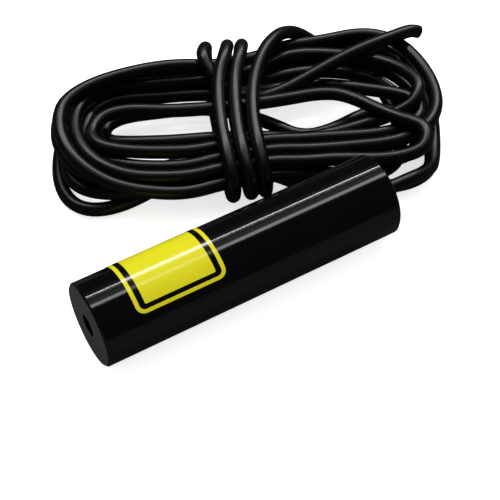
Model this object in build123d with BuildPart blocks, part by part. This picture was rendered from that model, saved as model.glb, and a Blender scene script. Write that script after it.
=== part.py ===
"""Laser diode module: a turned barrel with its optics, driver and free cable, which lies beside it in a hank.

Millimetres. The barrel lies on Z = 0 with its axis along X, and its middle is over the origin.
The beam leaves through the aperture at the -X end, and the cable leaves at the +X end.
"""
from build123d import *
from math import cos, degrees, pi, radians, sin, sqrt, tan
import os

os.makedirs("parts", exist_ok=True)

# Driving sizes of the barrel housing
housing_radius = 9.5
housing_bore_radius = 7.75
front_wall = 3.0
aperture_radius = 2.5
rim_chamfer = 0.45
rear_seat_radius = 8.4
rear_seat_depth = 3.0

# Fits between the pieces
slip_fit = 0.05
loose_fit = 0.1
overrun = 1.0

# Diode holder, which carries the optics and the diode and takes away its heat
holder_length = 18.0
lens_bore_radius = 4.5
lens_bore_depth = 12.5
throat_radius = 2.3
throat_length = 1.6
clamp_bore_radius = 4.25

# Lens cell and its lens
cell_length = 8.0
cell_setback = 1.5
cell_thread_relief = 0.35
cell_relief_width = 1.0
cell_notch_width = 1.0
cell_notch_depth = 0.8
lens_radius = 3.0
lens_edge = 1.6
lens_sag = 0.8
cell_clear_radius = 2.4
retainer_thickness = 1.2
retainer_radius = 3.3
retainer_lip = 0.7

# Spring between the holder's web and the lens cell, coiled from square wire
spring_wire = 0.5
spring_radius = 3.9
spring_turns = 2.0

# Laser diode can
flange_radius = 2.8
flange_thickness = 1.2
flange_notch = 0.4
heat_block_width = 1.5
heat_block_depth = 0.9
heat_block_length = 1.6
submount_width = 0.7
submount_length = 0.8
submount_thickness = 0.2
chip_width = 0.3
chip_length = 0.5
chip_thickness = 0.12
photodiode_width = 0.8
photodiode_thickness = 0.2
photodiode_drop = 0.75
cap_radius = 1.78
cap_length = 2.3
cap_wall = 0.2
cap_lip_radius = 2.15
cap_opening_radius = 0.8
cap_window_thickness = 0.25
pin_radius = 0.225
pin_circle_radius = 1.0
pin_length = 6.5
pin_angles = (45, 135, 270)

# Threaded ring that clamps the diode's flange
clamp_ring_thickness = 2.2
clamp_ring_hole_radius = 1.9
clamp_slot_width = 0.9
clamp_slot_depth = 0.8

# Insulating sleeve round the driver board
sleeve_wall = 0.8
sleeve_groove_depth = 0.5

# Driver board and the components on it
board_length = 31.5
board_thickness = 1.2
board_gap = 1.0
chip_body = (4.9, 3.9, 1.5)
chip_lead_pitch = 1.27
chip_lead = (0.4, 1.0, 0.25)
transistor_body = (3.5, 6.5, 1.6)
transistor_tab = (1.9, 3.1, 0.4)
transistor_lead = (1.2, 0.75, 0.4)
transistor_lead_pitch = 2.3
can_base = (5.3, 5.3, 0.8)
can_radius = 2.5
can_height = 4.4
can_edge = 0.4
capacitor_body = (1.25, 2.0, 0.9)
capacitor_pitch = 2.2
resistor_body = (1.25, 2.0, 0.5)
resistor_pitch = 1.9
protection_body = (4.3, 2.6, 2.1)
protection_lead = (0.7, 1.5, 0.4)
sense_body = (3.2, 6.3, 0.6)
component_edge = 0.12
component_gap = 1.6

# Rear cap, cable entry and the cable
cap_body_length = 5.0
cap_rim_setback = 0.3
bush_radius = 3.2
bush_flange_radius = 4.2
bush_flange_thickness = 1.2
bush_boss_length = 2.8
bush_mouth_radius = 2.35
cable_radius = 1.65
cable_inner_length = 2.8
crimp_wall = 0.5
crimp_length = 1.8
core_radius = 0.6
core_spacing = 0.75
core_reach = 6.5
core_overlap = 1.8
core_pad_spread = 4.6

# Label
label_thickness = 0.1
label_length = 20.8
label_front = 8.5
label_round = 30.0
label_start_angle = 39.5
label_corner = 2.0

# Hank of cable on the floor behind the barrel
hank_angle = -21.7
hank_centre = (23.4, 37.3)
hank_length = 93.0
hank_width = 46.0
hank_height = 14.0
hank_edge = 4.0
hank_opening_length = 52.0
hank_opening_width = 7.0
hank_clearance = 0.8
waist_width = 21.0
waist_depth = 37.0
waist_offset = -2.5
waist_near_height = 13.0
waist_far_height = 17.6
waist_edge = 4.5
lead_seat = 9.0

# The free cable's route from the rear cap to the hank, chosen point by point
lead_route = [
    (38.5, 0.0, 9.5),
    (44.5, 0.0, 9.5),
    (50.5, 1.2, 6.2),
    (55.5, 4.4, 2.4),
    (59.3, 10.2, 1.65),
]
bend_share = 0.45

# The barrel is as long as what it holds, from the front wall to the rear cap's seat
housing_length = (
    front_wall
    + holder_length
    + board_gap
    + board_length
    + core_reach
    + cable_inner_length
    + bush_flange_thickness
    + cap_body_length
    + rear_seat_depth
)

# Places along the axis, from the front face to the rear
axis_height = housing_radius
front_x = -housing_length / 2
rear_x = housing_length / 2
holder_x = front_x + front_wall
holder_rear_x = holder_x + holder_length
web_front_x = holder_x + lens_bore_depth
flange_front_x = web_front_x + throat_length
flange_rear_x = flange_front_x + flange_thickness
cell_x = holder_x + cell_setback
cell_rear_x = cell_x + cell_length
lens_rim_x = cell_x + retainer_thickness
lens_flat_x = lens_rim_x + lens_edge
cap_flange_x = rear_x - rear_seat_depth
cap_inner_x = cap_flange_x - cap_body_length
cap_rear_x = rear_x - cap_rim_setback
bush_inner_x = cap_inner_x - bush_flange_thickness
bush_mouth_x = cap_rear_x + bush_boss_length
cable_end_x = bush_inner_x - cable_inner_length

# The radii that fit inside one another
retainer_hole_radius = retainer_radius - retainer_lip
lens_clear_radius = retainer_hole_radius - slip_fit
holder_radius = housing_bore_radius - slip_fit
cell_radius = lens_bore_radius - slip_fit
sleeve_radius = housing_bore_radius - loose_fit
sleeve_inner_radius = sleeve_radius - sleeve_wall

module_axis = Axis((0, 0, axis_height), (1, 0, 0))
turning_plane = Plane(origin=(0, 0, axis_height), x_dir=(1, 0, 0), z_dir=(0, -1, 0))


def across(x):
    """The plane across the module's axis at x, with its own X along Y and its own Y upwards."""
    return Plane(origin=(x, 0, axis_height), x_dir=(0, 1, 0), z_dir=(1, 0, 0))


def turn(*outline, mode=Mode.ADD):
    """Turns a closed outline of (place along the axis, radius) points round the module's axis."""
    with BuildSketch(turning_plane) as profile:
        with BuildLine():
            Polyline(*outline, close=True)
        make_face()
    revolve(profile.sketch, axis=module_axis, mode=mode)


def ring(start, end, outer, inner, mode=Mode.ADD):
    """Turns a plain ring from start to end along the axis."""
    turn((start, inner), (end, inner), (end, outer), (start, outer), mode=mode)


def save(piece, name):
    """Labels a finished piece and writes it to its own file."""
    piece.part.label = name
    export_step(piece.part, f"parts/{name}.step")


# Housing: one turned tube, with the front wall left in and a seat for the rear cap
with BuildPart() as housing:
    turn(
        (front_x, aperture_radius),
        (front_x, housing_radius),
        (rear_x, housing_radius),
        (rear_x, rear_seat_radius),
        (cap_flange_x, rear_seat_radius),
        (cap_flange_x, housing_bore_radius),
        (front_x + front_wall, housing_bore_radius),
        (front_x + front_wall, aperture_radius),
    )
    rims = housing.edges().filter_by(GeomType.CIRCLE).filter_by(lambda edge: edge.radius > rear_seat_radius)
    chamfer(rims, rim_chamfer)
save(housing, "housing")

# Diode holder: a heat sink with the lens bore in front, a web, and the diode's seat behind
with BuildPart() as diode_holder:
    turn(
        (holder_x, lens_bore_radius),
        (holder_x, holder_radius),
        (holder_rear_x, holder_radius),
        (holder_rear_x, clamp_bore_radius),
        (flange_rear_x, clamp_bore_radius),
        (flange_rear_x, flange_radius + slip_fit),
        (flange_front_x, flange_radius + slip_fit),
        (flange_front_x, throat_radius),
        (web_front_x, throat_radius),
        (web_front_x, lens_bore_radius),
    )
save(diode_holder, "diode_holder")

# Lens cell: a threaded brass barrel, with a seat for the lens and two notches for the focusing key
with BuildPart() as lens_cell:
    turn(
        (cell_x, retainer_radius),
        (cell_x, cell_radius),
        (cell_rear_x - cell_relief_width, cell_radius),
        (cell_rear_x - cell_relief_width, cell_radius - cell_thread_relief),
        (cell_rear_x, cell_radius - cell_thread_relief),
        (cell_rear_x, cell_clear_radius),
        (lens_flat_x, cell_clear_radius),
        (lens_flat_x, lens_radius + slip_fit),
        (lens_rim_x, lens_radius + slip_fit),
        (lens_rim_x, retainer_radius),
    )
    with BuildSketch(across(cell_x)):
        with Locations((cell_radius, 0), (-cell_radius, 0)):
            Rectangle(2 * (cell_radius - retainer_radius) - 2 * cell_thread_relief, cell_notch_width)
    extrude(amount=cell_notch_depth, mode=Mode.SUBTRACT)
save(lens_cell, "lens_cell")

# Collimating lens: plano-convex, with its round face to the aperture
with BuildPart() as collimating_lens:
    with BuildSketch(turning_plane):
        with BuildLine():
            lens_curve = (lens_clear_radius**2 + lens_sag**2) / (2 * lens_sag)
            Polyline(
                (lens_rim_x - lens_sag, 0),
                (lens_flat_x, 0),
                (lens_flat_x, lens_radius),
                (lens_rim_x, lens_radius),
                (lens_rim_x, lens_clear_radius),
            )
            RadiusArc((lens_rim_x, lens_clear_radius), (lens_rim_x - lens_sag, 0), -lens_curve)
        make_face()
    revolve(axis=module_axis)
save(collimating_lens, "collimating_lens")

# Lens retainer: a thin threaded ring that presses on the lens's rim
with BuildPart() as lens_retainer:
    ring(cell_x, lens_rim_x, retainer_radius - slip_fit, retainer_hole_radius)
save(lens_retainer, "lens_retainer")

# Focus spring: it keeps the play out of the lens cell's thread
with BuildPart() as focus_spring:
    spring_start = cell_rear_x + spring_wire / 2
    spring_length = web_front_x - spring_wire / 2 - spring_start
    with BuildLine() as coil:
        Helix(
            spring_length / spring_turns,
            spring_length,
            spring_radius,
            center=(spring_start, 0, axis_height),
            direction=(1, 0, 0),
        )
    with BuildSketch(Plane(origin=coil.line @ 0, z_dir=coil.line % 0)):
        Rectangle(spring_wire, spring_wire)
    sweep(path=coil.line, is_frenet=True)
save(focus_spring, "focus_spring")

# Diode header: the flange with its index notches, and the heat block that stands on it
with BuildPart() as diode_header:
    with BuildSketch(across(flange_front_x)):
        Circle(flange_radius)
        with PolarLocations(flange_radius, 2):
            Rectangle(flange_notch, flange_notch, rotation=45, mode=Mode.SUBTRACT)
    extrude(amount=flange_thickness)
    with BuildSketch(across(flange_front_x)):
        with Locations((0, submount_thickness + chip_thickness / 2)):
            Rectangle(heat_block_width, heat_block_depth, align=(Align.CENTER, Align.MIN))
    extrude(amount=-heat_block_length)
save(diode_header, "diode_header")

# Submount: a ceramic plate on the heat block's lower face, towards the axis
block_front_x = flange_front_x - heat_block_length
block_face_z = submount_thickness + chip_thickness / 2
with BuildPart() as diode_submount:
    with BuildSketch(across(block_front_x)):
        with Locations((0, block_face_z)):
            Rectangle(submount_width, submount_thickness, align=(Align.CENTER, Align.MAX))
    extrude(amount=submount_length)
save(diode_submount, "diode_submount")

# Laser chip: on the submount, with its middle on the module's axis
with BuildPart() as laser_chip:
    with BuildSketch(across(block_front_x)):
        Rectangle(chip_width, chip_thickness)
    extrude(amount=chip_length)
save(laser_chip, "laser_chip")

# Monitor photodiode: on the flange, behind the chip and below the axis
with BuildPart() as monitor_photodiode:
    with BuildSketch(across(flange_front_x)):
        with Locations((0, -photodiode_drop)):
            Rectangle(photodiode_width, photodiode_width)
    extrude(amount=-photodiode_thickness)
save(monitor_photodiode, "monitor_photodiode")

# Diode cap: a drawn can with a lip that is welded to the flange, and an opening for the beam
cap_front_x = flange_front_x - cap_length
with BuildPart() as diode_cap:
    turn(
        (cap_front_x, cap_opening_radius),
        (cap_front_x, cap_radius),
        (flange_front_x - cap_wall, cap_radius),
        (flange_front_x - cap_wall, cap_lip_radius),
        (flange_front_x, cap_lip_radius),
        (flange_front_x, cap_radius - cap_wall),
        (cap_front_x + cap_wall, cap_radius - cap_wall),
        (cap_front_x + cap_wall, cap_opening_radius),
    )
save(diode_cap, "diode_cap")

# Cap window: a glass disc behind the opening
with BuildPart() as diode_cap_window:
    with BuildSketch(across(cap_front_x + cap_wall)):
        Circle(cap_radius - cap_wall)
    extrude(amount=cap_window_thickness)
save(diode_cap_window, "diode_cap_window")

# Diode pins: two above the driver board and one below it
with BuildPart() as diode_pins:
    with BuildSketch(across(flange_rear_x)):
        for angle in pin_angles:
            with PolarLocations(pin_circle_radius, 1, start_angle=angle):
                Circle(pin_radius)
    extrude(amount=pin_length)
save(diode_pins, "diode_pins")

# Clamp ring: screwed in behind the diode's flange, with two slots for its key
with BuildPart() as diode_clamp_ring:
    clamp_ring_x = flange_rear_x + clamp_ring_thickness
    ring(flange_rear_x, clamp_ring_x, clamp_bore_radius - slip_fit, clamp_ring_hole_radius)
    with BuildSketch(across(clamp_ring_x)):
        Rectangle(2 * (clamp_bore_radius + overrun), clamp_slot_width)
    extrude(amount=-clamp_slot_depth, mode=Mode.SUBTRACT)
save(diode_clamp_ring, "diode_clamp_ring")

# The board's height: its upper face bears on the two upper pins
board_top = pin_circle_radius * sin(radians(pin_angles[0])) - pin_radius
board_middle = board_top - board_thickness / 2
board_x = holder_rear_x + board_gap
board_rear_x = board_x + board_length
groove_radius = sleeve_inner_radius + sleeve_groove_depth
board_reach = max(abs(board_top), abs(board_top - board_thickness))
board_width = 2 * (sqrt(groove_radius**2 - board_reach**2) - loose_fit)

# Insulating sleeve: a plastic tube between the holder and the rear cap, grooved for the board
with BuildPart() as insulating_sleeve:
    ring(holder_rear_x, cap_inner_x, sleeve_radius, sleeve_inner_radius)
    with BuildSketch(across(holder_rear_x)) as grooves:
        Circle(groove_radius)
        with Locations((0, board_middle)):
            Rectangle(2 * sleeve_radius, board_thickness + 2 * slip_fit, mode=Mode.INTERSECT)
    extrude(amount=cap_inner_x - holder_rear_x, mode=Mode.SUBTRACT)
save(insulating_sleeve, "insulating_sleeve")

# Driver board
with BuildPart() as driver_board:
    with BuildSketch(across(board_x)):
        with Locations((0, board_middle)):
            Rectangle(board_width, board_thickness)
    extrude(amount=board_length)
save(driver_board, "driver_board")


def on_board(x, y=0.0, under=False):
    """The plane on the board's upper or under side, x behind its front edge and y off its middle."""
    height = axis_height + (board_top - board_thickness if under else board_top)
    return Plane(origin=(board_x + x, y, height), x_dir=(1, 0, 0), z_dir=(0, 0, -1 if under else 1))


def block(plane, size, edge=0.0):
    """A box of a component on its plane, with its upper edges eased."""
    with BuildSketch(plane) as foot:
        Rectangle(size[0], size[1])
    extrude(foot.sketch, amount=size[2])
    if edge:
        chamfer(edges().filter_by(lambda line: abs(line.center().Z - plane.origin.Z) > size[2] - edge), edge)


# Where each component stands behind the board's front edge, one after another
passives_x = pin_length - (board_x - flange_rear_x) + component_gap
chip_x = passives_x + capacitor_body[0] + component_gap + chip_body[0] / 2
transistor_x = chip_x + chip_body[0] / 2 + component_gap + transistor_body[0] / 2
can_x = transistor_x + transistor_body[0] / 2 + transistor_tab[0] + component_gap + can_base[0] / 2
protection_x = transistor_x + component_gap

# Driver chip: a moulded body with four leads on each side
with BuildPart() as driver_chip:
    block(on_board(chip_x), chip_body, component_edge)
    with BuildSketch(on_board(chip_x)):
        with GridLocations(chip_lead_pitch, chip_body[1] + chip_lead[1], 4, 2):
            Rectangle(chip_lead[0], chip_lead[1])
    extrude(amount=chip_lead[2])
save(driver_chip, "driver_chip")

# Power transistor: a moulded body, its cooling tab on one side and three leads on the other
with BuildPart() as power_transistor:
    block(on_board(transistor_x), transistor_body, component_edge)
    with BuildSketch(on_board(transistor_x)):
        with Locations((transistor_body[0] / 2, 0)):
            Rectangle(transistor_tab[0], transistor_tab[1], align=(Align.MIN, Align.CENTER))
    extrude(amount=transistor_tab[2])
    with BuildSketch(on_board(transistor_x)):
        with Locations((-transistor_body[0] / 2 - transistor_lead[0] / 2, 0)):
            with GridLocations(transistor_lead_pitch, transistor_lead_pitch, 1, 3):
                Rectangle(transistor_lead[0], transistor_lead[1])
    extrude(amount=transistor_lead[2])
save(power_transistor, "power_transistor")

# Electrolytic capacitor: a can on a moulded base
with BuildPart() as electrolytic_capacitor:
    block(on_board(can_x), can_base)
    with BuildSketch(on_board(can_x).offset(can_base[2])):
        Circle(can_radius)
    extrude(amount=can_height)
    chamfer(electrolytic_capacitor.faces().sort_by(Axis.Z)[-1].edges(), can_edge)
save(electrolytic_capacitor, "electrolytic_capacitor")

# Ceramic capacitors: a row across the board behind the diode's pins
with BuildPart() as ceramic_capacitors:
    with BuildSketch(on_board(passives_x)):
        with GridLocations(capacitor_body[0], capacitor_body[1] + capacitor_pitch, 1, 3):
            Rectangle(capacitor_body[0], capacitor_body[1])
    extrude(amount=capacitor_body[2])
save(ceramic_capacitors, "ceramic_capacitors")

# Resistors: two rows under the board
with BuildPart() as resistors:
    with BuildSketch(on_board(chip_x, under=True)):
        with GridLocations(resistor_body[0] + resistor_pitch, resistor_body[1] + resistor_pitch, 3, 2):
            Rectangle(resistor_body[0], resistor_body[1])
    extrude(amount=resistor_body[2])
save(resistors, "resistors")

# Sense resistor: a wide one under the transistor
with BuildPart() as sense_resistor:
    block(on_board(can_x, under=True), sense_body, component_edge)
save(sense_resistor, "sense_resistor")

# Protection diode: across the supply, under the board
with BuildPart() as protection_diode:
    block(on_board(protection_x, under=True), protection_body, component_edge)
    with BuildSketch(on_board(protection_x, under=True)):
        with GridLocations(protection_body[0] + protection_lead[0], protection_body[1], 2, 1):
            Rectangle(protection_lead[0], protection_lead[1])
    extrude(amount=protection_lead[2])
save(protection_diode, "protection_diode")

# Rear cap: a turned plug whose flange seats in the housing's rear end
with BuildPart() as rear_cap:
    turn(
        (cap_inner_x, bush_radius + slip_fit),
        (cap_inner_x, housing_bore_radius - slip_fit),
        (cap_flange_x, housing_bore_radius - slip_fit),
        (cap_flange_x, rear_seat_radius - slip_fit),
        (cap_rear_x, rear_seat_radius - slip_fit),
        (cap_rear_x, bush_radius + slip_fit),
    )
save(rear_cap, "rear_cap")

# Strain relief bush: rubber, pulled through the cap from inside, with a tapered boss at the cable's exit
with BuildPart() as strain_relief_bush:
    turn(
        (bush_inner_x, cable_radius + slip_fit),
        (bush_inner_x, bush_flange_radius),
        (cap_inner_x, bush_flange_radius),
        (cap_inner_x, bush_radius),
        (cap_rear_x, bush_radius),
        (bush_mouth_x, bush_mouth_radius),
        (bush_mouth_x, cable_radius + slip_fit),
    )
save(strain_relief_bush, "strain_relief_bush")

# Cable inside the module, from its stripped end to the bush's mouth
with BuildPart() as cable_inner_end:
    with BuildSketch(across(cable_end_x)):
        Circle(cable_radius)
    extrude(amount=bush_mouth_x - cable_end_x)
save(cable_inner_end, "cable_inner_end")

# Crimp ring on the cable, which stops it from being pulled out through the bush
with BuildPart() as cable_crimp:
    crimp_bore = cable_radius + slip_fit
    ring(bush_inner_x - crimp_length, bush_inner_x, crimp_bore + crimp_wall, crimp_bore)
save(cable_crimp, "cable_crimp")


def core_wire(side, name):
    """One insulated core, from the cable's end to the board's edge and on over its pad. side is 1 or -1."""
    board_edge = Vector(board_rear_x, side * core_pad_spread, axis_height + board_top + core_radius)
    core_foot = Vector(cable_end_x, side * core_spacing, axis_height)
    free_run = core_foot - board_edge
    with BuildPart() as core:
        with BuildSketch(Plane(origin=board_edge, x_dir=(0, 1, 0), z_dir=(1, 0, 0))) as section:
            Circle(core_radius)
        extrude(section.sketch, amount=-core_overlap)
        extrude(section.sketch, amount=free_run.length, dir=free_run)
    save(core, name)


core_wire(1, "core_wire_red")
core_wire(-1, "core_wire_black")

# Label: a thin film wrapped on the barrel, with round corners
label_x = front_x + label_front
label_corner_reach = label_round / 2
label_end_angle = label_start_angle + degrees(label_round / housing_radius)


def label_end_plane(angle):
    """The plane on the barrel at one end of the label, with its own Y round the barrel and Z outwards."""
    outwards = Vector(0, -cos(radians(angle)), sin(radians(angle)))
    foot = Vector(label_x + label_length / 2, 0, axis_height) + outwards * housing_radius
    return Plane(origin=foot, x_dir=(1, 0, 0), z_dir=outwards)


with BuildPart() as label:
    start_plane = label_end_plane(label_start_angle)
    with BuildSketch(Plane(origin=module_axis.position, x_dir=(1, 0, 0), z_dir=-start_plane.y_dir)):
        with Locations((label_x, housing_radius)):
            Rectangle(label_length, label_thickness, align=(Align.MIN, Align.MIN))
    revolve(
        axis=Axis(module_axis.position, (-1, 0, 0)), revolution_arc=label_end_angle - label_start_angle
    )
    for angle, inwards in ((label_start_angle, 1), (label_end_angle, -1)):
        with BuildSketch(label_end_plane(angle)):
            Rectangle(label_length + 2 * overrun, 2 * label_corner)
            with Locations((0, inwards * label_corner_reach / 2)):
                RectangleRounded(label_length, label_corner_reach, label_corner, mode=Mode.SUBTRACT)
        extrude(amount=overrun, both=True, mode=Mode.SUBTRACT)
save(label, "label")

# Free cable: a tube along the route, with each bend as large as its two runs allow
lead_points = [Vector(*point) for point in lead_route]
lead_radii = []
for before, corner, after in zip(lead_points, lead_points[1:], lead_points[2:]):
    half_turn = radians((corner - before).get_angle(after - corner)) / 2
    shorter_run = min((corner - before).length, (after - corner).length)
    lead_radii.append(bend_share * shorter_run / tan(half_turn))
with BuildPart() as cable_lead:
    with BuildLine() as lead_path:
        FilletPolyline(*lead_points, radius=lead_radii)
    with BuildSketch(Plane(origin=lead_points[0], z_dir=lead_path.line % 0)):
        Circle(cable_radius)
    sweep(path=lead_path.line)
save(cable_lead, "cable_lead")
lead_length = sum(edge.length for edge in lead_path.edges())
volume_length = cable_lead.part.volume / (pi * cable_radius**2)
print("lead radii", [round(radius, 2) for radius in lead_radii])
print("lead length", round(lead_length, 2), "by volume", round(volume_length, 2))

# Hank: the outer shape of the wound cable, an oval ring with a waist where the cable is wrapped round it
hank_plane = Plane(
    origin=(hank_centre[0], hank_centre[1], 0),
    x_dir=(cos(radians(hank_angle)), sin(radians(hank_angle)), 0),
    z_dir=(0, 0, 1),
)
waist_plane = Plane(
    origin=hank_plane.from_local_coords(Vector(-waist_width / 2, waist_offset, 0)),
    x_dir=hank_plane.y_dir,
    z_dir=hank_plane.x_dir,
)
lead_end_plane = Plane(origin=lead_points[-1], z_dir=lead_points[-1] - lead_points[-2])
with BuildPart() as cable_hank:
    with BuildSketch(hank_plane):
        SlotOverall(hank_length, hank_width)
        SlotOverall(hank_opening_length, hank_opening_width, mode=Mode.SUBTRACT)
    extrude(amount=hank_height)
    chamfer(cable_hank.faces().sort_by(Axis.Z)[-1].outer_wire().edges(), hank_edge)
    with BuildSketch(waist_plane):
        with BuildLine():
            Polyline(
                (-waist_depth / 2, 0),
                (waist_depth / 2, 0),
                (waist_depth / 2, waist_far_height),
                (-waist_depth / 2, waist_near_height),
                close=True,
            )
        waist = make_face()
        fillet(waist.vertices().sort_by(Axis.Z)[2:], waist_edge)
    extrude(amount=waist_width)
    with BuildSketch(Plane.XY):
        with Locations((0, housing_radius + label_thickness + hank_clearance)):
            Rectangle(housing_length + 2 * hank_clearance, hank_width, align=(Align.CENTER, Align.MAX))
    extrude(amount=waist_far_height, mode=Mode.SUBTRACT)
    with BuildSketch(lead_end_plane):
        Rectangle(lead_seat, lead_seat)
    extrude(amount=-lead_seat, mode=Mode.SUBTRACT)
save(cable_hank, "cable_hank")
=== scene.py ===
# %% [markdown]
# # A laser diode module and its hank of cable
#
# The object is a black anodised tube with a yellow label, lying beside two
# metres of thin black cable that was folded into a loose hank and wrapped
# round the middle. The metal was drawn in CAD, so here it only gets finishes.
# The cable is made here, because it is soft and the CAD solid is a stand-in.
# Lengths are written in millimetres, and mm turns them into Blender's metres.

import bpy
import numpy as np
from mathutils import Matrix, Vector


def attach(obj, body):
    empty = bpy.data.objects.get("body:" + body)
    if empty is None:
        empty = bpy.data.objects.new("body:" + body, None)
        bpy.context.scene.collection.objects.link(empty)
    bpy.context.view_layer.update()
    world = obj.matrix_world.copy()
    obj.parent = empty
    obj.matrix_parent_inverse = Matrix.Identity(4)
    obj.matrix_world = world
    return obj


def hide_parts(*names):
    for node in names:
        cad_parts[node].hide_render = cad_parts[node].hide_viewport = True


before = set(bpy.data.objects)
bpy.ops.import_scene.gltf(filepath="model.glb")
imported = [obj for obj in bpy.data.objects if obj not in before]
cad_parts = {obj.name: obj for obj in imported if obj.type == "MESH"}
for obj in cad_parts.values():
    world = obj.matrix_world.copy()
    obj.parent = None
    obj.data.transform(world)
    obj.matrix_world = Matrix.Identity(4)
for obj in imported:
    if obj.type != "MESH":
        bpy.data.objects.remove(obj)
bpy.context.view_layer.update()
mm = 0.001
tube_radius = 9.5
print("nodes:", len(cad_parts))

# %% [markdown]
# ## The camera
#
# The module lies along X with its front at the left. The photograph looks down
# on it from the front left, at 51 degrees above the table, through a lens
# about as long as 90 mm on a full-frame camera. A long lens keeps the hank,
# which lies further away, nearly as large as the tube. The place and the
# turn are written as numbers, because a camera that follows a target would
# roll a little when the target moves.

# %% Camera
camera_place = Vector((-84.294, -148.640, 223.907)) * mm
camera_turn = np.radians((38.86, 0.0, -30.37))

camera_data = bpy.data.cameras.new("camera")
camera_data.lens = 91.58
camera_data.sensor_width = 36.0
camera_data.clip_start = 0.01
camera = bpy.data.objects.new("camera", camera_data)
camera.location = camera_place
camera.rotation_euler = camera_turn
bpy.context.scene.collection.objects.link(camera)
bpy.context.scene.camera = camera
print("camera at", tuple(round(value, 4) for value in camera.location))

# %% [markdown]
# ## The hank's own directions
#
# A hank is wound round two fixed places, so its long direction is the natural
# one to measure in. Every place on the cable is given as (u, v, z): u along
# the hank to the right, v across it away from the tube, and z up from the
# table. A function turns whole arrays of such places into the frame's own.

# %% The hank's own directions
cable_diameter = 3.3
cable_radius = cable_diameter / 2
hank_angle = np.radians(-21.7)
hank_centre = np.array([23.4, 37.3])
along = np.array([np.cos(hank_angle), np.sin(hank_angle)])
across = np.array([-np.sin(hank_angle), np.cos(hank_angle)])


def on_table(u, v, z):
    """Hank places to frame places: centre + u * along + v * across, with z kept."""
    u, v, z = np.broadcast_arrays(u, v, z)
    flat = hank_centre + np.multiply.outer(u, along) + np.multiply.outer(v, across)
    return np.concatenate([flat, z[..., None]], axis=-1)


print("the hank's middle is at", on_table(0.0, 0.0, cable_radius).round(1))

# %% [markdown]
# ## Eight turns that nothing holds apart
#
# Each turn is an oval pulled flat in the middle by the wraps. It could be one
# ellipse, but loose turns bunch at the waist and fan out at the ends, so each
# one is given by the six places where it is easiest to judge: its right end,
# two at the far side of the waist, its left end, and two at the near side.
# Between them a quarter of a superellipse rounds the corner. The bulge pushes
# a corner outwards, as springy cable does.

# %% Places of the turns
turns = [
    # right end, far right, far left, left end,
    # near left, near right, then the bulges of the four corners
    ((46.2, -6.0, 4.9), (13.0, 21.5, 5.0), (21.2, 5.0), (-45.7, -10.5, 1.7),
     (-14.6, 5.0), (-21.8, 4.5), (7, 4, -7.6, -3)),
    ((43.6, -13.2, 1.7), (13.0, 14.0, 6.8), (15.0, 4.9), (-42.8, -6.5, 4.9),
     (-17.2, 5.0), (-15.2, 5.0), (1.4, 4.4, -1.5, -7)),
    ((43.7, -4.5, 5.2), (13.0, 17.7, 5.0), (17.9, 7.3), (-45.6, -2.2, 7.2),
     (-10.6, 5.0), (-12.0, 5.0), (1.2, 1.6, -8, -2.5)),
    ((40.6, -5.5, 5.2), (13.0, -6.8, 5.0), (7.0, 5.0), (-37.4, 2.0, 4.4),
     (-5.2, 7.6), (-6.6, 5.6), (6.5, 1, 1, 1)),
    ((43.0, -4.0, 11.2), (13.0, 19.2, 8.5), (14.2, 7.6), (-40.6, 0.0, 10.5),
     (-18.8, 8.6), (-18.3, 8.3), (-1.5, 2.5, -2, -4.5)),
    ((42.5, -18.0, 11.5), (18.5, 2.9, 7.5), (1.4, 8.3), (-38.2, -5.6, 8.2),
     (-12.9, 8.2), (-11.9, 8.3), (-10, 3.6, 0, -2)),
    ((43.0, -5.5, 7.9), (13.0, 11.1, 6.0), (13.5, 6.4), (-38.7, 0.5, 8.2),
     (-14.6, 8.2), (-15.0, 8.3), (-3.5, 2.8, 0, -3)),
    ((45.9, 2.0, 8.4), (13.0, 22.5, 8.6), (15.9, 10.4), (-43.2, -0.6, 10.4),
     (-20.0, 5.5), (-18.3, 5.0), (6, -1.0, -1, -4)),
]
last_right_end = (38.6, -3.0, 1.7)
far_left_u, near_left_u, near_right_u = -12.0, -14.0, 12.0
far_share, near_left_share, near_right_share = 0.80, 0.95, 0.86
points_a_quarter = 4
waist_squeeze = 0.93


def quarter(start, end, from_end, share, bulge):
    """A corner of a turn, from start to end.

    With an angle t from 0 to 90 degrees, one direction covers sin(t) ** share
    of its way and the other 1 - cos(t) ** share, and the height follows
    (1 - cos 2t) / 2. A turn sets off from its end across the hank, and from
    its side along it. The bulge adds bulge * sin(2t) ** 2 across the hank.
    """
    t = (np.arange(points_a_quarter) + 0.5) / points_a_quarter * np.pi / 2
    fast, slow = np.sin(t) ** share, 1 - np.cos(t) ** share
    share_u, share_v = (slow, fast) if from_end else (fast, slow)
    u = start[0] + (end[0] - start[0]) * share_u
    v = start[1] + (end[1] - start[1]) * share_v + bulge * np.sin(2 * t) ** 2
    z = start[2] + (end[2] - start[2]) * (1 - np.cos(2 * t)) / 2
    return on_table(u, v, z)


def through_waist(start, end, to_left):
    """Five places from start to end, drawn together and held above the wraps beneath.

    Along the hank and in height they go in even steps t. Strands cross over
    on the right of the waist, so across it they go by sin(90 t) to the left
    and by 1 - cos(90 t) to the right.
    """
    t = np.linspace(0, 1, 5)
    turned = np.sin(t * np.pi / 2) if to_left else 1 - np.cos(t * np.pi / 2)
    places = np.array(start) + np.column_stack([t, turned, t]) * (np.array(end) - np.array(start))
    places[1:-1, 1] *= waist_squeeze
    places[1:-1, 2] = np.maximum(places[1:-1, 2], 3 * cable_radius)
    return on_table(*places.T)


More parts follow.
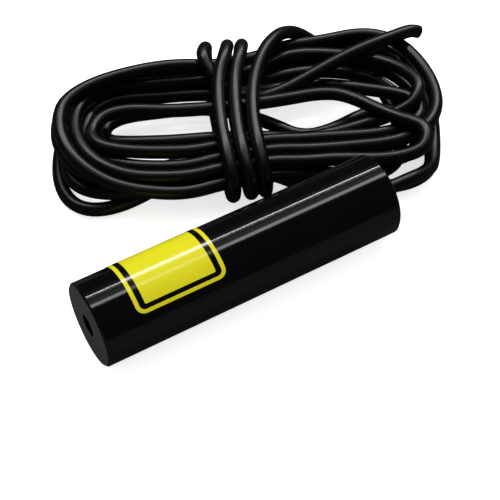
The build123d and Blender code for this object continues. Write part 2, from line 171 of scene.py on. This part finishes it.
turn_points = []
for k, (right, far_right, far_left, left, near_left, near_right, bulges) in enumerate(turns):
    next_right = turns[k + 1][0] if k + 1 < len(turns) else last_right_end
    far_end = (far_left_u, *far_left)
    near_start, near_end = (near_left_u, *near_left), (near_right_u, *near_right)
    turn_points += [
        quarter(right, far_right, True, far_share, bulges[0]),
        through_waist(far_right, far_end, True),
        quarter(far_end, left, False, far_share, bulges[1]),
        quarter(left, near_start, True, near_left_share, bulges[2]),
        through_waist(near_start, near_end, False),
        quarter(near_end, next_right, False, near_right_share, bulges[3]),
    ]
print("points in the eight turns:", sum(len(points) for points in turn_points))

# %% [markdown]
# ## The wraps and the loose end
#
# After its last turn the cable comes up over the far side and is wound round
# the waist, each wrap beside the one before. A wrap goes down the near side,
# under the whole bundle and up again. What is left is tucked under the wraps
# along the top of the bundle and sticks out over the right end.

# %% Places of the wraps and the end
rise = [
    (26.5, 24.0, 1.7), (21.8, 24.6, 4.0), (17.0, 23.0, 9.0), (12.0, 19.6, 12.3), (7.0, 13.5, 13.4),
]
# under the bundle only v and z are given, because every wrap goes the same way there
under = [
    (-21.2, 8.3), (-20.6, 3.7), (-15.5, 1.7), (0.0, 1.7),
    (18.0, 1.7), (22.8, 3.6), (23.6, 8.0), (20.3, 12.6),
]
wraps = [
    # places down the front of each wrap, then how far right its underside starts and ends
    ([(2.8, 4.0, 12.0), (1.2, -6.0, 11.6), (1.4, -15.5, 11.2)], (2.0, 2.4)),
    ([(1.4, 16.0, 14.5), (-1.7, 7.5, 12.6), (-3.0, -6.0, 11.6), (-2.8, -15.5, 11.2)], (-1.7, -1.8)),
    ([(-3.0, 16.0, 14.5), (-6.4, 7.5, 12.6), (-7.5, -6.0, 11.6), (-7.0, -15.5, 11.2)],
     (-6.4, -6.6)),
]
last_crossing = [(-8.0, 16.0, 14.2), (-6.9, 11.5, 13.0), (-3.6, 6.5, 10.5)]
loose_end = [
    (3.0, 4.2, 8.4), (10.0, 5.4, 8.8), (17.5, 8.4, 10.0), (24.5, 11.2, 11.2), (31.0, 13.5, 12.0),
    (38.0, 16.0, 12.3), (43.0, 18.5, 11.9), (45.2, 19.4, 11.7), (46.6, 19.5, 11.2),
]
print(f"{len(wraps)} wraps, and a loose end of {len(loose_end)} places")

# %% [markdown]
# ## One row of places from the module to the loose end
#
# The lead leaves the module's rear along its axis and falls to the table. It is
# given in the frame's own places, as the module is. Everything else is joined
# on in the order in which a hand would wind it.

# %% The whole route
lead = np.array([
    (38.5, 0.0, tube_radius), (44.5, 0.0, tube_radius), (50.5, 1.2, 7.4), (55.5, 4.4, 5.4),
])
winding = [
    quarter(last_right_end, rise[0], True, near_left_share, 0.0), on_table(*np.array(rise).T),
]
for front, (u_start, u_end) in wraps:
    winding.append(on_table(*np.array(front).T))
    winding.append(on_table(np.linspace(u_start, u_end, len(under)), *np.array(under).T))
winding.append(on_table(*np.array(last_crossing + loose_end).T))

route = np.vstack([lead] + turn_points + winding)
print("points in the whole cable:", len(route))

# %% [markdown]
# ## Letting the strands lie on each other
#
# Judged places leave strands that cut through each other. Moving them
# by hand would never end, and a physics simulation would lose the likeness.
# So the spline's own mathematics is used. A quadratic NURBS line is a fixed
# mix of its control points: line = mix @ points. Wherever two strands are
# closer than a diameter, both are pushed apart, and the transpose of the mix
# hands each push back to the control points.

# %% The spline's mix of its points
def spline_mix(count, steps):
    """The weights of each control point along a quadratic B-spline with clamped ends.

    Between two knots only three points count, and their weights add up to 1.
    Fraction a blends the first point with the second, b the second with the
    third, and c blends those two blends. Each is a fraction of the way between
    two knots.
    """
    knots = np.concatenate([[0, 0], np.arange(count - 1), [count - 2, count - 2]]).astype(float)
    t = np.linspace(0, count - 2, (count - 2) * steps + 1)
    i = np.clip(np.floor(t).astype(int), 0, count - 3) + 2
    a = (t - knots[i - 1]) / (knots[i + 1] - knots[i - 1])
    b = (t - knots[i]) / (knots[i + 2] - knots[i])
    c = (t - knots[i]) / (knots[i + 1] - knots[i])
    mix = np.zeros((len(t), count))
    rows = np.arange(len(t))
    mix[rows, i - 2] = (1 - c) * (1 - a)
    mix[rows, i - 1] = (1 - c) * a + c * (1 - b)
    mix[rows, i] = c * b
    return mix


rough_line = spline_mix(len(route), steps=6) @ route
print("places on the line before it settles:", len(rough_line))

# %% [markdown]
# ## Bends that the cable can take
#
# A corner between two given places can be sharper than a cable of this
# thickness bends. Leaving it would pinch the swept surface there. A filter over
# the whole line would soften every shape, so only what is too sharp is eased.

# %% Easing the sharp bends
tiny = 1e-9


def ease(points, first, last, least_radius, rounds=80, pace=0.25):
    """Rounds off the bends between two places that are tighter than the cable takes.

    The circle through three neighbouring points has the radius
    a * b * c / (2 * |cross(a, b)|), with a and b the steps between them and c
    the step across. Where it is too small, the middle point goes a little way
    towards the middle of the other two, over and over.
    """
    points = points.copy()
    for _ in range(rounds):
        before, here = points[first - 1:last - 1], points[first:last]
        after = points[first + 1:last + 1]
        steps = here - before, after - here, after - before
        lengths = np.prod([np.linalg.norm(step, axis=1) for step in steps], axis=0)
        radius = lengths / (2 * np.linalg.norm(np.cross(steps[0], steps[1]), axis=1) + tiny)
        sharp = np.clip(1 - radius / least_radius, 0, 1)
        points[first:last] = here + pace * sharp[:, None] * ((before + after) / 2 - here)
    return points


last_of_turns = len(lead) + sum(len(points) for points in turn_points) + points_a_quarter
eased = ease(route, len(lead), last_of_turns, least_radius=6.0)
print(f"easing moved a point by {np.linalg.norm(eased - route, axis=1).max():.1f} mm at most")

# %% [markdown]
# ## Pushing the strands apart
#
# A real strand comes to rest where it touches others. The values below say how
# close two strands may lie, what counts as another strand rather than the next
# bit of the same one, how far behind the module its tube still counts, and how
# boldly each round moves.

# %% Settling
spacing = cable_diameter * 1.01
same_strand = 3 * cable_diameter
in_reach = 2 * cable_diameter
past_tube = 38.0
tube_clearance = 0.1
rounds_between_searches = 8
least_push = 1e-4
boldness, calm = 1.3, 0.3
stiffness = 0.25


def settle(points, rounds, steps=6):
    """Moves control points until strands lie beside and on each other.

    Each round looks at the pairs of places on the line that are nearer than a
    diameter but further apart along it, and pushes each by half of what is
    missing. What is below the table or inside the tube is pushed out as well.
    A control point moves by the mean of the pushes it has a share in. A part
    of each point's offset from its neighbours' is then taken back, so that
    the cable bends as a whole. The lead keeps its place.
    """
    mix = spline_mix(len(points), steps)
    share = mix.sum(axis=0)
    start = points.copy()
    count = len(mix)
    for number in range(rounds):
        line = mix @ points
        if number % rounds_between_searches == 0:
            step = np.linalg.norm(np.diff(line, axis=0), axis=1)
            travel = np.concatenate([[0], np.cumsum(step)])
            near = ((line[:, None] - line[None]) ** 2).sum(axis=-1) < in_reach ** 2
            apart = travel[None, :] - travel[:, None] > same_strand
            first, second = np.nonzero(near & apart)
        gap = line[first] - line[second]
        distance = np.linalg.norm(gap, axis=1) + tiny
        missing = np.clip(spacing - distance, 0, None)
        half = (gap / distance[:, None] * missing[:, None] / 2) * missing[:, None]
        weight = np.bincount(first, missing, count) + np.bincount(second, missing, count)
        push = np.column_stack([
            np.bincount(first, half[:, k], count) - np.bincount(second, half[:, k], count)
            for k in range(3)
        ]) / np.maximum(weight, tiny)[:, None]
        tube = line[:, 1:] - np.array([0.0, tube_radius])
        reach = np.linalg.norm(tube, axis=1) + tiny
        inside = np.clip(tube_radius + tube_clearance + cable_radius - reach, 0, None)
        inside[line[:, 0] >= past_tube] = 0
        push[:, 1:] += tube / reach[:, None] * inside[:, None]
        push[:, 2] += np.clip(cable_radius - line[:, 2] - push[:, 2], 0, None)
        active = (np.abs(push).sum(axis=1) > least_push).astype(float)
        change = boldness * mix.T @ push / (mix.T @ active + calm * share)[:, None]
        change[:len(lead)] = 0
        points = points + change
        moved = points - start
        bend = np.zeros_like(points)
        bend[1:-1] = (moved[:-2] + moved[2:]) / 2 - moved[1:-1]
        bend[:len(lead)] = 0
        points = points + stiffness * bend
    furthest = np.linalg.norm(points - start, axis=1).max()
    return points, missing.max(), furthest


route, overlap, furthest = settle(eased, rounds=160)
print(f"deepest overlap left {overlap:.2f} mm, furthest move {furthest:.1f} mm")

# %% [markdown]
# ## The cable itself
#
# A round cable is a curve with a bevel: Blender carries a circle along the
# spline, so one line of points gives the whole two metres. The bevel is a
# circle of radius 1 and each point scales it to the cable's own. The spline's
# order is set after its points, or it would stay a chain of straight runs.

# %% The cable
cable_curve = bpy.data.curves.new("cable", "CURVE")
cable_curve.dimensions = "3D"
cable_curve.resolution_u = 6
cable_curve.bevel_depth = 1.0
cable_curve.bevel_resolution = 5
cable_curve.use_fill_caps = True
spline = cable_curve.splines.new("NURBS")
spline.points.add(len(route) - 1)
spline.points.foreach_set("co", np.column_stack([route * mm, np.ones(len(route))]).ravel())
spline.points.foreach_set("radius", np.full(len(route), cable_radius * mm))
spline.order_u = 3
spline.use_endpoint_u = True
cable = bpy.data.objects.new("cable", cable_curve)
bpy.context.scene.collection.objects.link(cable)

cable_line = spline_mix(len(route), steps=12) @ route

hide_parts("cable_lead", "cable_hank")
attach(cable, "root")


# %% [markdown]
# ## Shader sums written as sums
#
# A material is a web of nodes, and wiring arithmetic by hand hides what it
# says. The class below wraps a socket, so that 1 - mask * 2 adds its Math
# nodes by itself. Everything else goes through one method that names a node's
# type, its settings and its inputs.

# %% A value in a shader
class Value:
    """A socket that can be added, multiplied and compared as a number can."""

    def __init__(self, tree, socket):
        self.tree, self.socket = tree, socket

    def combine(self, operation, first, second=None):
        node = self.tree.nodes.new("ShaderNodeMath")
        node.operation = operation
        for slot, value in enumerate((first, second)):
            if isinstance(value, Value):
                self.tree.links.new(value.socket, node.inputs[slot])
            elif value is not None:
                node.inputs[slot].default_value = value
        return Value(self.tree, node.outputs[0])

    def __add__(self, other):
        return self.combine("ADD", self, other)

    def __sub__(self, other):
        return self.combine("SUBTRACT", self, other)

    def __rsub__(self, other):
        return self.combine("SUBTRACT", other, self)

    def __mul__(self, other):
        return self.combine("MULTIPLY", self, other)

    def __truediv__(self, other):
        return self.combine("DIVIDE", self, other)

    def __lt__(self, other):
        return self.combine("LESS_THAN", self, other)

    def __gt__(self, other):
        return self.combine("GREATER_THAN", self, other)

    def __abs__(self):
        return self.combine("ABSOLUTE", self)

    __radd__, __rmul__ = __add__, __mul__

    def least(self, other):
        return self.combine("MINIMUM", self, other)

    def most(self, other):
        return self.combine("MAXIMUM", self, other)

    def zigzag(self, step):
        """Runs from 0 up to the step and back down again, over and over."""
        return self.combine("PINGPONG", self, step)


print("a shader's value can be used with + - * / < > abs, least, most and zigzag")

# %% [markdown]
# ## A finish as a short recipe
#
# Every finish is one principled shader and a few nodes before it. Numbers that
# are the same all over the surface are set on the shader itself, and only what
# changes from place to place gets nodes, so that a baked copy keeps all of it.

# %% A finish
class Finish:
    """One material: its principled shader, and a method for every other node."""

    def __init__(self, name, **constants):
        self.material = bpy.data.materials.new(name)
        self.material.use_nodes = True
        self.tree = self.material.node_tree
        self.shader = self.tree.nodes["Principled BSDF"]
        for word, value in constants.items():
            socket = word.replace("_", " ").title().replace("Ior", "IOR")
            self.shader.inputs[socket].default_value = value

    def node(self, kind, settings=None, output=0, **inputs):
        """Adds a node: settings first, then each input by its name, as a value or a link.

        Where two inputs share a name, input_ and a number says which is meant.
        """
        node = self.tree.nodes.new("ShaderNode" + kind)
        for key, value in (settings or {}).items():
            setattr(node, key, value)
        for name, value in inputs.items():
            if name.startswith("input_"):
                socket = node.inputs[int(name[6:])]
            else:
                socket = node.inputs[name]
            if isinstance(value, Value):
                self.tree.links.new(value.socket, socket)
            else:
                socket.default_value = value
        return Value(self.tree, node.outputs[output])

    def place(self):
        """Object coordinates in metres, as a vector."""
        return self.node("TexCoord", output="Object")

    def along(self, vector, axis):
        return self.node("SeparateXYZ", output=axis, Vector=vector)

    def scaled(self, vector, x, y, z):
        settings = {"operation": "MULTIPLY"}
        return self.node("VectorMath", settings, input_0=vector, input_1=(x, y, z))

    def noise(self, vector, scale, detail=3.0):
        return self.node("TexNoise", Vector=vector, Scale=scale, Detail=detail)

    def blend(self, share, first, second):
        """A colour that goes from the first to the second as share goes from 0 to 1.

        A Mix node keeps its colours in inputs 6 and 7 and their mix in output 2.
        """
        settings = {"data_type": "RGBA"}
        first, second = (
            colour if isinstance(colour, Value) else (*colour, 1) for colour in (first, second)
        )
        return self.node("Mix", settings, output=2, input_0=share, input_6=first, input_7=second)

    def between(self, value, low, high):
        """A value mapped from 0..1 to low..high, as low + value * (high - low)."""
        return value * (high - low) + low

    def feed(self, socket, value):
        self.tree.links.new(value.socket, self.shader.inputs[socket])

    def bump(self, height, strength, distance):
        """Feeds the shader's normal from a height given in metres times distance."""
        self.feed("Normal", self.node("Bump", Height=height, Strength=strength, Distance=distance))


def dress(pieces, finish):
    """Puts a finish on CAD nodes by their own material slots."""
    for piece in pieces:
        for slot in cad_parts[piece].material_slots:
            slot.material = finish.material
    print(f"{finish.material.name}: {', '.join(pieces)}")


# %% [markdown]
# ## The cable's sheath
#
# The sheath is soft PVC, black and satin, pressed out of a die. It has no
# pattern, but it is not one flat black either: it is handled and dusty in
# patches, which shows in its gloss more than in its colour. So a broad noise
# moves the roughness, and a fine one dents the surface by about a hundredth of
# a millimetre. The rubber bush shares the recipe, only duller.

# %% Sheath and bush
def black_plastic(name, low, high):
    """Dark grey with faint patches, a roughness from low to high and a fine grain."""
    finish = Finish(name, specular_ior_level=0.32)
    place = finish.place()
    patches = finish.noise(place, 90.0)
    grain = finish.noise(place, 2200.0, 2.0)
    dark, light = (0.0008, 0.0008, 0.0009), (0.0026, 0.0026, 0.0030)
    finish.feed("Base Color", finish.blend(patches, dark, light))
    finish.feed("Roughness", finish.between(patches, low, high))
    finish.bump(grain, 0.10, 0.0001)
    return finish


sheath = black_plastic("cable sheath", 0.28, 0.40)
cable_curve.materials.append(sheath.material)
dress(["cable_inner_end"], sheath)
dress(["strain_relief_bush"], black_plastic("bush rubber", 0.55, 0.70))

# %% [markdown]
# ## The anodised tube
#
# The tube is turned aluminium, anodised black. Turning leaves rings that run
# round it about a fifth of a millimetre apart, and they stretch a highlight
# round the tube's curve. A noise squeezed along X and drawn out across it gives
# such rings without a texture. The front face was left matt by the tool that
# faced it, so a mask on X, taken from the place on the object, makes it
# rougher there. The same mask paints the face lighter, and that lighter colour
# is painted light, for how the matt face catches the light.

# %% Anodised tube
front_face_x = -36.0 * mm
face_depth = 0.05 * mm
# the front face's colour, lighter than the tube's as painted light
face_painted_light_colour = (0.042, 0.042, 0.043)
face_extra_roughness = 0.38

anodised = Finish("black anodised aluminium", specular_ior_level=0.9)
place = anodised.place()
rings = anodised.noise(anodised.scaled(place, 5200.0, 60.0, 60.0), 1.0, 2.0)
cloud = anodised.noise(place, 110.0)
face = anodised.along(place, 0) < front_face_x + face_depth
body_colour = anodised.blend(cloud, (0.0006, 0.0006, 0.0007), (0.0016, 0.0016, 0.0018))
# painted light: the front face is painted lighter than the rest of the tube
anodised.feed("Base Color", anodised.blend(face, body_colour, face_painted_light_colour))
anodised.feed("Roughness", anodised.between(rings, 0.07, 0.12) + face * face_extra_roughness)
anodised.bump(rings, 0.02, 0.0001)
dress(["housing", "rear_cap", "lens_retainer"], anodised)

# %% [markdown]
# ## The label
#
# The label is a printed film, wrapped round the tube: a yellow edge, a black
# frame and a yellow field. It could be a picture, but a frame is only a sum:
# the place on the tube is unrolled into a distance along it and a distance
# round it, and comparing those with the frame's edges gives a mask. The angle
# round the tube starts at its side nearest the camera and grows over the top.

# %% The label unrolled
label_middle_x, label_half_length = -17.1, 10.4
label_start = float(np.radians(39.5)) * tube_radius
label_round = 30.0

label = Finish("label film", specular_ior_level=0.5)
place = label.place()
x = label.along(place, 0) / mm
y = label.along(place, 1) / mm
z = label.along(place, 2) / mm - tube_radius
angle = z.combine("ARCTAN2", z, 0 - y)
round_tube = (angle + (angle < 0) * (2 * np.pi)) * tube_radius
side = label_half_length - abs(x - label_middle_x)
foot = (round_tube - label_start).least(label_start + label_round - round_tube)
print(f"label: {2 * label_half_length:.1f} mm along the tube, {label_round:.1f} mm round it")


# %% [markdown]
# ## The label's frame
#
# The black frame is what lies inside one rounded rectangle and outside a
# smaller one, so the two masks are multiplied.

# %% Label
border = (0.9, 0.8, 1.2)
border_and_frame = (2.2, 1.8, 0.35)


def within(side_gap, foot_gap, corner):
    """1 inside the rounded rectangle that stays side_gap and foot_gap from the label's edges.

    The distance past a rounded corner is the length of what both gaps lack,
    so the mask is where that length stays under the corner's radius.
    """
    lacks_side = (side_gap + corner - side).most(0)
    lacks_foot = (foot_gap + corner - foot).most(0)
    return (lacks_side * lacks_side + lacks_foot * lacks_foot) < corner * corner


black_mask = within(*border) * (1 - within(*border_and_frame))
fade = label.noise(place, 120.0)
yellow = label.blend(fade, (0.60, 0.56, 0.010), (0.68, 0.63, 0.014))
label.feed("Base Color", label.blend(black_mask, yellow, (0.002, 0.002, 0.002)))
label.feed("Roughness", label.between(fade, 0.13, 0.17))
dress(["label"], label)

# %% [markdown]
# ## Metals inside
#
# The lens cell and the clamp ring are turned brass, the diode's holder plain
# aluminium, and the spring drawn wire. Each could have its own recipe, but
# they differ only in tint and polish: a broad noise lets the tint drift, and
# a noise squeezed along X leaves the tool's marks in the gloss. The diode's
# base is gold plated and its can is nickel, so those are nearly mirrors.

# %% Metals
def worn_metal(name, dark, light, low, high, marks):
    """A metal between two tints, with tool marks in its gloss between low and high."""
    finish = Finish(name, metallic=1.0)
    place = finish.place()
    lines = finish.noise(finish.scaled(place, marks, 90.0, 90.0), 1.0, 2.0)
    finish.feed("Base Color", finish.blend(finish.noise(place, 160.0), dark, light))
    finish.feed("Roughness", finish.between(lines, low, high))
    finish.bump(lines, 0.06, 0.00005)
    return finish


brass = (0.62, 0.40, 0.14), (0.78, 0.54, 0.22)
aluminium = (0.60, 0.60, 0.61), (0.78, 0.78, 0.79)
steel = (0.38, 0.37, 0.36), (0.55, 0.54, 0.53)
gold = (0.86, 0.58, 0.22), (0.95, 0.70, 0.32)
nickel = (0.58, 0.55, 0.50), (0.72, 0.69, 0.64)
tin = (0.55, 0.54, 0.52), (0.70, 0.69, 0.66)
metals = [
    # pieces, name, the two tints, least and most roughness, how many tool marks a metre
    (["lens_cell", "diode_clamp_ring"], "turned brass", *brass, 0.18, 0.34, 4000.0),
    (["diode_holder"], "turned aluminium", *aluminium, 0.22, 0.40, 4000.0),
    (["focus_spring"], "spring steel", *steel, 0.16, 0.30, 900.0),
    (["diode_header", "diode_pins"], "gold plate", *gold, 0.08, 0.18, 900.0),
    (["diode_cap"], "nickel can", *nickel, 0.10, 0.20, 900.0),
    (["cable_crimp"], "tinned brass", *tin, 0.25, 0.42, 1500.0),
]
for pieces, *recipe in metals:
    dress(pieces, worn_metal(*recipe))

# %% [markdown]
# ## Glass
#
# The lens and the can's window are clear glass with a thin coating. Glass
# needs transmission, which is one fixed value, and its coating a tint that
# drifts from edge to edge. A second shell for the coating would be far thinner
# than anything a picture shows.

# %% Glass
glass = Finish("coated glass", transmission_weight=1.0, ior=1.52)
place = glass.place()
coating = glass.noise(place, 260.0, 1.0)
glass.feed("Base Color", glass.blend(coating, (0.93, 0.95, 1.0), (0.97, 0.93, 0.99)))
glass.feed("Roughness", glass.between(coating, 0.0, 0.02))
dress(["collimating_lens", "diode_cap_window"], glass)

# %% [markdown]
# ## Plastics and ceramics
#
# The board's parts, the wires' insulation and the white sleeve are moulded, and
# the submount is fired. Up close they are all the same kind of surface, so they
# share one recipe: two near tints by a broad noise, and a fine grain.

# %% Plastics and ceramics
def moulded(name, dark, light, low, high, grain):
    """A moulded or fired piece: two near tints, a roughness from low to high, a fine grain."""
    finish = Finish(name)
    place = finish.place()
    broad = finish.noise(place, 300.0)
    finish.feed("Base Color", finish.blend(broad, dark, light))
    finish.feed("Roughness", finish.between(broad, low, high))
    finish.bump(finish.noise(place, grain, 2.0), 0.15, 0.00005)
    return finish


board_parts = [
    "driver_chip", "power_transistor", "protection_diode", "sense_resistor", "resistors",
]
nitride = (0.70, 0.69, 0.66), (0.80, 0.79, 0.76)
silicon = (0.05, 0.055, 0.07), (0.10, 0.10, 0.12)
acetal = (0.68, 0.66, 0.58), (0.78, 0.76, 0.68)
epoxy = (0.010, 0.010, 0.011), (0.022, 0.022, 0.023)
brown = (0.42, 0.30, 0.18), (0.52, 0.38, 0.24)
red = (0.42, 0.010, 0.008), (0.55, 0.018, 0.012)
black = (0.006, 0.006, 0.007), (0.014, 0.014, 0.015)
mouldings = [
    # pieces, name, the two tints, least and most roughness, how many grains a metre
    (["diode_submount"], "nitride ceramic", *nitride, 0.45, 0.60, 1800.0),
    (["laser_chip", "monitor_photodiode"], "semiconductor", *silicon, 0.08, 0.16, 1800.0),
    (["insulating_sleeve"], "acetal", *acetal, 0.35, 0.50, 1800.0),
    (board_parts, "epoxy black", *epoxy, 0.45, 0.62, 5000.0),
    (["ceramic_capacitors"], "capacitor ceramic", *brown, 0.40, 0.55, 1800.0),
    (["core_wire_red"], "red insulation", *red, 0.30, 0.42, 1800.0),
    (["core_wire_black"], "black insulation", *black, 0.30, 0.42, 1800.0),
]
for pieces, *recipe in mouldings:
    dress(pieces, moulded(*recipe))

# %% [markdown]
# ## The driver board and the capacitor's can
#
# The board is glass fibre under green lacquer. Copper below the lacquer shows
# as lighter lanes, which a zigzag of the place across the board gives: it
# runs from 0 up to half the lanes' pitch and back, and where it is low there is
# a lane. The same along the board breaks the lanes. The can is bare aluminium
# in a printed sleeve, with a pale stripe down one side for its minus lead.

# %% Board and can
half_pitch, half_lane = 0.8, 0.22
half_run, half_break = 3.1, 0.5

board = Finish("green lacquer", specular_ior_level=0.6)
place = board.place()
x = board.along(place, 0) / mm
y = board.along(place, 1) / mm
lanes = (y.zigzag(half_pitch) < half_lane) * (x.zigzag(half_run) > half_break)
weave = board.noise(board.scaled(place, 1500.0, 1500.0, 300.0), 1.0, 1.0)
lacquer = board.blend(weave, (0.010, 0.105, 0.030), (0.014, 0.135, 0.040))
board.feed("Base Color", board.blend(lanes, lacquer, (0.035, 0.22, 0.07)))
board.feed("Roughness", board.between(weave, 0.22, 0.34))
board.bump(lanes, 0.3, 0.00003)
dress(["driver_board"], board)

can = Finish("capacitor can", specular_ior_level=0.5)
place = can.place()
stripe = can.along(place, 1) > 1.2 * mm
sleeve = can.blend(can.noise(place, 400.0), (0.012, 0.016, 0.030), (0.020, 0.026, 0.045))
can.feed("Base Color", can.blend(stripe, sleeve, (0.62, 0.62, 0.60)))
can.feed("Roughness", can.between(can.noise(place, 900.0), 0.22, 0.34))
dress(["electrolytic_capacitor"], can)

# %% [markdown]
# ## The table
#
# The photograph's background is pure white, while its blacks are deep and only
# narrow bands shine on the tube. Lighting a white table up to white would fill
# those blacks with its reflection. So the Light Path decides how the table is
# met: the camera sees some white of the table's own, which keeps the shadow,
# and reflections see it dark.

# %% Table
table_level = -0.2 * mm


def grey(level):
    """A colour with the same level in all three channels."""
    return level, level, level


bpy.ops.mesh.primitive_plane_add(size=6.0, location=(0, 0, table_level))
table = bpy.context.object
table.name = "table"
white = Finish("white table", roughness=0.9, specular_ior_level=0.0, emission_strength=1.0)
seen_directly = white.node("LightPath", output="Is Camera Ray")
seen_in_gloss = white.node("LightPath", output="Is Glossy Ray")
white.feed("Base Color", white.blend(seen_in_gloss, grey(0.95), grey(0.05)))
white.feed("Emission Color", white.blend(seen_directly, grey(0.0), grey(0.70)))
table.data.materials.append(white.material)
print("table at", table_level)

# %% [markdown]
# ## The lamps
#
# The tube's highlights say what hung over it. There is a broad dim band with a
# brighter edge and, further back, a narrow bright line. A tube mirrors a box
# along it as a band whose width follows the box's, so a wide dim box, a
# narrower one over its edge and a strip give just those. Point lamps would
# leave dots.

# %% Lamps
lamp_target = Vector((0.02, 0.02, 0.01))
lamp_distance = 1.2


def softbox(name, direction, length, width, watts):
    """A rectangular lamp that faces the object from a direction, with its length along X.

    Its own Z points back along the direction, its X is the frame's X less the
    part of it along that, and its Y is at right angles to both.
    """
    lamp = bpy.data.lights.new(name, "AREA")
    lamp.shape = "RECTANGLE"
    lamp.size, lamp.size_y = length, width
    lamp.energy = watts
    holder = bpy.data.objects.new(name, lamp)
    back = Vector(direction).normalized()
    side = (Vector((1, 0, 0)) - back * back.x).normalized()
    holder.location = lamp_target + back * lamp_distance
    holder.rotation_euler = Matrix((side, back.cross(side), back)).transposed().to_euler()
    bpy.context.scene.collection.objects.link(holder)
    print(f"{name}: {length} by {width} m, {watts} W")


softbox("broad glow", (0.317, 0.220, 0.922), 1.4, 0.30, 0.28)
softbox("its bright edge", (0.317, 0.075, 0.946), 1.4, 0.16, 1.8)
softbox("strip box", (0.317, 0.513, 0.798), 1.6, 0.10, 13.5)

# %% [markdown]
# ## The room
#
# Soft light from all round fills the shadows on the table. It is the world's
# colour, and the Light Path splits it as it does for the table: reflections see
# a dark room, the camera a white one, and everything else the soft light.

# %% Room
soft_light, mirrored, background = 0.62, 0.02, 1.0

world = bpy.data.worlds.new("room")
world.use_nodes = True
bpy.context.scene.world = world
links, nodes = world.node_tree.links, world.node_tree.nodes
path = nodes.new("ShaderNodeLightPath")
room, behind = nodes.new("ShaderNodeMix"), nodes.new("ShaderNodeMix")
for mix, share, seen in ((room, "Is Glossy Ray", mirrored), (behind, "Is Camera Ray", background)):
    mix.data_type = "RGBA"
    links.new(path.outputs[share], mix.inputs[0])
    mix.inputs[7].default_value = (*grey(seen), 1)
room.inputs[6].default_value = (*grey(soft_light), 1)
links.new(room.outputs[2], behind.inputs[6])
links.new(behind.outputs[2], nodes["Background"].inputs["Color"])
nodes["Background"].inputs["Strength"].default_value = 1.0
bpy.context.scene.view_settings.view_transform = "Standard"
print("soft light", soft_light, "mirrored", mirrored, "behind", background)

# %% [markdown]
# ## CAD nodes left without a finish
#
# Every CAD node that no finish has reached is listed by name.

# %% Nodes without a finish
bare = [
    name for name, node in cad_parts.items()
    if not any(slot.material for slot in node.material_slots)
]
print("nodes without a material:", bare)
bpy.context.view_layer.update()
